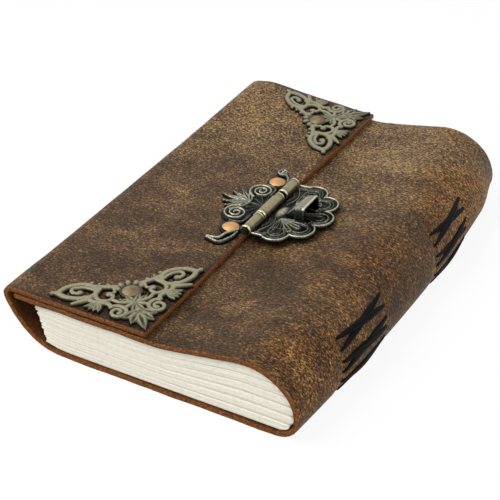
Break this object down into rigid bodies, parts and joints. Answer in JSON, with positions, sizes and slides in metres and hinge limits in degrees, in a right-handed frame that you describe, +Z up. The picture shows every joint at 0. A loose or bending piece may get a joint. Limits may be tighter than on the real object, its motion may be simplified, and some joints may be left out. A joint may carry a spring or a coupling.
{
  "type": "leather diary with clasp",
  "caption": "Wrap-over leather diary of folded gatherings, laced at a round spine, with pierced corner plates and a hinged shell clasp on the flap.",
  "frame": {"origin": "on the table, under the middle of the hide", "axes": "+X from the fold to the spine, +Y along the book, +Z up"},
  "size_m": [0.1208, 0.178, 0.0325],
  "materials": {
    "hide": "distressed brown, waxed",
    "paper": "cream, handmade, uncoated",
    "thread": "black, waxed",
    "corner_metal": "antiqued grey bronze",
    "brad_metal": "satin",
    "clasp_metal": "antiqued dark bronze"
  },
  "bodies": {
    "book": {"back_cover": "hide", "fore_edge_wrap": "hide", "spine": "hide", "gathering_1": "paper", "gathering_2": "paper", "gathering_3": "paper", "gathering_4": "paper", "gathering_5": "paper", "lacing_near_1": "thread", "lacing_near_2": "thread", "lacing_near_3": "thread", "lacing_far_1": "thread", "lacing_far_2": "thread", "lacing_far_3": "thread"},
    "flap": {"flap": "hide", "corner_near": "corner_metal", "corner_far": "corner_metal", "corner_brad_near": "brad_metal", "corner_brad_far": "brad_metal", "clasp_brad_near": "brad_metal", "clasp_brad_far": "brad_metal", "clasp_plate": "clasp_metal", "hinge_pin": "clasp_metal"},
    "leaf": {"hasp_leaf": "clasp_metal"},
    "cover": {"front_cover": "hide", "front_cover_tongue": "hide", "catch_plate": "clasp_metal", "catch_rivet_near": "clasp_metal", "catch_rivet_far": "clasp_metal"},
    "top_gathering": {"gathering_6": "paper"}
  },
  "joints": [
    {"name": "flap_fold", "type": "hinge", "parent": "book", "child": "flap", "pos_m": [-0.05555, 0, 0.02355], "axis": [0, -1, 0], "range_deg": [0, 175]},
    {"name": "clasp_hinge", "type": "hinge", "parent": "flap", "child": "leaf", "pos_m": [0, 0, 0.0257], "axis": [0, -1, 0], "range_deg": [0, 145]},
    {"name": "cover_shoulder", "type": "hinge", "parent": "book", "child": "cover", "pos_m": [0.03835, 0, 0.02665], "axis": [0, 1, 0], "range_deg": [0, 175], "deforming": ["front_cover_tongue"]},
    {"name": "gathering_lift", "type": "hinge", "parent": "book", "child": "top_gathering", "pos_m": [0.03931, 0, 0.02235], "axis": [0, 1, 0], "range_deg": [0, 15.75]}
  ],
  "couplings": [
    {"joint": "cover_shoulder", "follows": "flap_fold", "ratio": 1},
    {"joint": "gathering_lift", "follows": "flap_fold", "ratio": 0.09}
  ]
}
